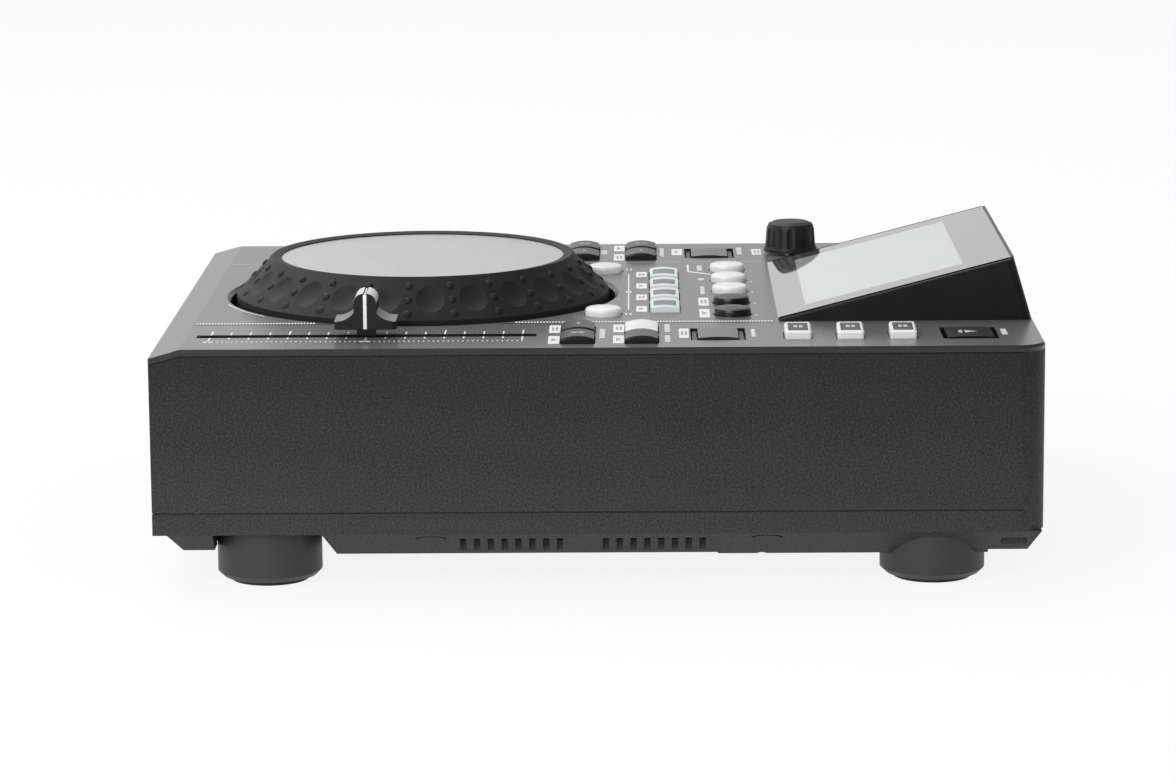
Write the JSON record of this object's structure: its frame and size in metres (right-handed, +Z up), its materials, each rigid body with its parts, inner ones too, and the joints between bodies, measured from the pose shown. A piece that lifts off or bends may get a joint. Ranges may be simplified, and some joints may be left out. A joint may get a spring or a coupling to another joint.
{
  "type": "tabletop disc player",
  "caption": "Tabletop disc player with a large turning jog wheel, long pitch slider, keys, select knob and a tilted display on a low case with round feet",
  "frame": {"origin": "middle of the footprint, on the surface that the feet stand on", "axes": "X across with the pitch slider at +X, Y from the front to the rear, Z up"},
  "size_m": [0.216, 0.283, 0.0986],
  "materials": {
    "case_plastic": "fine grained moulded plastic",
    "panel_coat": "satin dark grey coat",
    "dark_plastic": "plain moulded",
    "dark_metal": "fine matt coat",
    "black_gloss": "half gloss",
    "glass": "polished",
    "display": "smooth",
    "foot_plastic": "smooth with a matt sole",
    "jog_rubber": "soft matt",
    "plate_aluminium": "satin",
    "steel": "plain",
    "bronze": "sintered",
    "black_plastic": "half gloss",
    "circuit": "solder mask",
    "roller_rubber": "ground",
    "nickel": "plated",
    "pad_plastic": "translucent moulded",
    "white_plastic": "smooth",
    "grey_plastic": "smooth"
  },
  "bodies": {
    "player_body": {"bottom_tray": "case_plastic", "case_screws": "steel", "control_board": "circuit", "display_module": "display", "drive_chassis": "steel", "foot_front_left": "foot_plastic", "foot_front_right": "foot_plastic", "foot_rear_left": "foot_plastic", "foot_rear_right": "foot_plastic", "jog_bearing": "bronze", "jog_dish": "dark_plastic", "main_board": "circuit", "pitch_fader_track": "steel", "power_inlet": "black_plastic", "power_supply": "steel", "rear_jack_plate": "dark_metal", "rear_jacks": "nickel", "screen_glass": "glass", "screen_housing": "black_gloss", "select_encoder": "steel", "slot_bezel": "dark_plastic", "top_panel": "panel_coat", "upper_case": "case_plastic"},
    "jog_wheel": {"jog_ring": "jog_rubber", "jog_plate": "plate_aluminium", "jog_shaft": "steel", "jog_encoder_disc": "steel"},
    "pitch_slider": {"pitch_fader_cap": "black_plastic", "pitch_fader_carriage": "black_plastic"},
    "select_plunger": {"select_shaft": "steel"},
    "select_dial": {"select_knob": "black_plastic"},
    "power_rocker": {"power_switch": "black_plastic"},
    "turntable": {"drive_turntable": "dark_plastic"},
    "pickup": {"laser_sled": "dark_plastic"},
    "feed_roller": {"loading_roller": "roller_rubber"},
    "eject_key_body": {"eject_key": "black_plastic"},
    "left_front_inner_key_body": {"left_front_inner_key": "black_plastic"},
    "left_front_outer_key_body": {"left_front_outer_key": "black_plastic"},
    "left_mode_key_body": {"left_mode_key": "grey_plastic"},
    "left_rear_inner_key_body": {"left_rear_inner_key": "black_plastic"},
    "left_rear_outer_key_body": {"left_rear_outer_key": "black_plastic"},
    "left_round_key_body": {"left_round_key": "white_plastic"},
    "pad_key_1_body": {"pad_key_1": "pad_plastic"},
    "pad_key_2_body": {"pad_key_2": "pad_plastic"},
    "pad_key_3_body": {"pad_key_3": "pad_plastic"},
    "pad_key_4_body": {"pad_key_4": "pad_plastic"},
    "right_front_inner_key_body": {"right_front_inner_key": "black_plastic"},
    "right_front_outer_key_body": {"right_front_outer_key": "black_plastic"},
    "right_mode_key_body": {"right_mode_key": "grey_plastic"},
    "right_rear_inner_key_body": {"right_rear_inner_key": "white_plastic"},
    "right_rear_outer_key_body": {"right_rear_outer_key": "black_plastic"},
    "right_round_key_body": {"right_round_key": "white_plastic"},
    "source_key_1_body": {"source_key_1": "white_plastic"},
    "source_key_2_body": {"source_key_2": "white_plastic"},
    "source_key_3_body": {"source_key_3": "white_plastic"},
    "track_key_1_body": {"track_key_1": "white_plastic"},
    "track_key_2_body": {"track_key_2": "white_plastic"},
    "track_key_3_body": {"track_key_3": "white_plastic"},
    "track_key_4_body": {"track_key_4": "black_plastic"},
    "track_key_5_body": {"track_key_5": "black_plastic"}
  },
  "joints": [
    {"name": "jog_turn", "type": "hinge", "parent": "player_body", "child": "jog_wheel", "pos_m": [0, -0.06, 0.078], "axis": [0, 0, 1], "continuous": true},
    {"name": "pitch_slide", "type": "slide", "parent": "player_body", "child": "pitch_slider", "axis": [0, 1, 0], "range_m": [-0.05, 0.05]},
    {"name": "select_press", "type": "slide", "parent": "player_body", "child": "select_plunger", "axis": [0, 0, -1], "range_m": [0, 0.0006], "stiffness_N_per_m": 2000, "springref_m": -0.0005},
    {"name": "select_turn", "type": "hinge", "parent": "select_plunger", "child": "select_dial", "pos_m": [-0.084, 0.0676, 0.08], "axis": [0, 0, 1], "continuous": true},
    {"name": "power_rock", "type": "hinge", "parent": "player_body", "child": "power_rocker", "pos_m": [-0.072, 0.128, 0.046], "axis": [1, 0, 0], "range_deg": [0, 16]},
    {"name": "turntable_turn", "type": "hinge", "parent": "player_body", "child": "turntable", "pos_m": [0, -0.06, 0.04], "axis": [0, 0, 1], "continuous": true},
    {"name": "pickup_slide", "type": "slide", "parent": "player_body", "child": "pickup", "axis": [0, 1, 0], "range_m": [0, 0.035]},
    {"name": "roller_turn", "type": "hinge", "parent": "player_body", "child": "feed_roller", "pos_m": [0, -0.118, 0.0394], "axis": [1, 0, 0], "continuous": true},
    {"name": "eject_key_press", "type": "slide", "parent": "player_body", "child": "eject_key_body", "axis": [0, 0, -1], "range_m": [0, 0.0008], "stiffness_N_per_m": 1200, "springref_m": -0.0004},
    {"name": "left_front_inner_key_press", "type": "slide", "parent": "player_body", "child": "left_front_inner_key_body", "axis": [0, 0, -1], "range_m": [0, 0.0008], "stiffness_N_per_m": 1200, "springref_m": -0.0004},
    {"name": "left_front_outer_key_press", "type": "slide", "parent": "player_body", "child": "left_front_outer_key_body", "axis": [0, 0, -1], "range_m": [0, 0.0008], "stiffness_N_per_m": 1200, "springref_m": -0.0004},
    {"name": "left_mode_key_press", "type": "slide", "parent": "player_body", "child": "left_mode_key_body", "axis": [0, 0, -1], "range_m": [0, 0.0008], "stiffness_N_per_m": 1200, "springref_m": -0.0004},
    {"name": "left_rear_inner_key_press", "type": "slide", "parent": "player_body", "child": "left_rear_inner_key_body", "axis": [0, 0, -1], "range_m": [0, 0.0008], "stiffness_N_per_m": 1200, "springref_m": -0.0004},
    {"name": "left_rear_outer_key_press", "type": "slide", "parent": "player_body", "child": "left_rear_outer_key_body", "axis": [0, 0, -1], "range_m": [0, 0.0008], "stiffness_N_per_m": 1200, "springref_m": -0.0004},
    {"name": "left_round_key_press", "type": "slide", "parent": "player_body", "child": "left_round_key_body", "axis": [0, 0, -1], "range_m": [0, 0.0008], "stiffness_N_per_m": 1200, "springref_m": -0.0004},
    {"name": "pad_key_1_press", "type": "slide", "parent": "player_body", "child": "pad_key_1_body", "axis": [0, 0, -1], "range_m": [0, 0.0008], "stiffness_N_per_m": 1200, "springref_m": -0.0004},
    {"name": "pad_key_2_press", "type": "slide", "parent": "player_body", "child": "pad_key_2_body", "axis": [0, 0, -1], "range_m": [0, 0.0008], "stiffness_N_per_m": 1200, "springref_m": -0.0004},
    {"name": "pad_key_3_press", "type": "slide", "parent": "player_body", "child": "pad_key_3_body", "axis": [0, 0, -1], "range_m": [0, 0.0008], "stiffness_N_per_m": 1200, "springref_m": -0.0004},
    {"name": "pad_key_4_press", "type": "slide", "parent": "player_body", "child": "pad_key_4_body", "axis": [0, 0, -1], "range_m": [0, 0.0008], "stiffness_N_per_m": 1200, "springref_m": -0.0004},
    {"name": "right_front_inner_key_press", "type": "slide", "parent": "player_body", "child": "right_front_inner_key_body", "axis": [0, 0, -1], "range_m": [0, 0.0008], "stiffness_N_per_m": 1200, "springref_m": -0.0004},
    {"name": "right_front_outer_key_press", "type": "slide", "parent": "player_body", "child": "right_front_outer_key_body", "axis": [0, 0, -1], "range_m": [0, 0.0008], "stiffness_N_per_m": 1200, "springref_m": -0.0004},
    {"name": "right_mode_key_press", "type": "slide", "parent": "player_body", "child": "right_mode_key_body", "axis": [0, 0, -1], "range_m": [0, 0.0008], "stiffness_N_per_m": 1200, "springref_m": -0.0004},
    {"name": "right_rear_inner_key_press", "type": "slide", "parent": "player_body", "child": "right_rear_inner_key_body", "axis": [0, 0, -1], "range_m": [0, 0.0008], "stiffness_N_per_m": 1200, "springref_m": -0.0004},
    {"name": "right_rear_outer_key_press", "type": "slide", "parent": "player_body", "child": "right_rear_outer_key_body", "axis": [0, 0, -1], "range_m": [0, 0.0008], "stiffness_N_per_m": 1200, "springref_m": -0.0004},
    {"name": "right_round_key_press", "type": "slide", "parent": "player_body", "child": "right_round_key_body", "axis": [0, 0, -1], "range_m": [0, 0.0008], "stiffness_N_per_m": 1200, "springref_m": -0.0004},
    {"name": "source_key_1_press", "type": "slide", "parent": "player_body", "child": "source_key_1_body", "axis": [0, 0, -1], "range_m": [0, 0.0008], "stiffness_N_per_m": 1200, "springref_m": -0.0004},
    {"name": "source_key_2_press", "type": "slide", "parent": "player_body", "child": "source_key_2_body", "axis": [0, 0, -1], "range_m": [0, 0.0008], "stiffness_N_per_m": 1200, "springref_m": -0.0004},
    {"name": "source_key_3_press", "type": "slide", "parent": "player_body", "child": "source_key_3_body", "axis": [0, 0, -1], "range_m": [0, 0.0008], "stiffness_N_per_m": 1200, "springref_m": -0.0004},
    {"name": "track_key_1_press", "type": "slide", "parent": "player_body", "child": "track_key_1_body", "axis": [0, 0, -1], "range_m": [0, 0.0008], "stiffness_N_per_m": 1200, "springref_m": -0.0004},
    {"name": "track_key_2_press", "type": "slide", "parent": "player_body", "child": "track_key_2_body", "axis": [0, 0, -1], "range_m": [0, 0.0008], "stiffness_N_per_m": 1200, "springref_m": -0.0004},
    {"name": "track_key_3_press", "type": "slide", "parent": "player_body", "child": "track_key_3_body", "axis": [0, 0, -1], "range_m": [0, 0.0008], "stiffness_N_per_m": 1200, "springref_m": -0.0004},
    {"name": "track_key_4_press", "type": "slide", "parent": "player_body", "child": "track_key_4_body", "axis": [0, 0, -1], "range_m": [0, 0.0008], "stiffness_N_per_m": 1200, "springref_m": -0.0004},
    {"name": "track_key_5_press", "type": "slide", "parent": "player_body", "child": "track_key_5_body", "axis": [0, 0, -1], "range_m": [0, 0.0008], "stiffness_N_per_m": 1200, "springref_m": -0.0004}
  ]
}
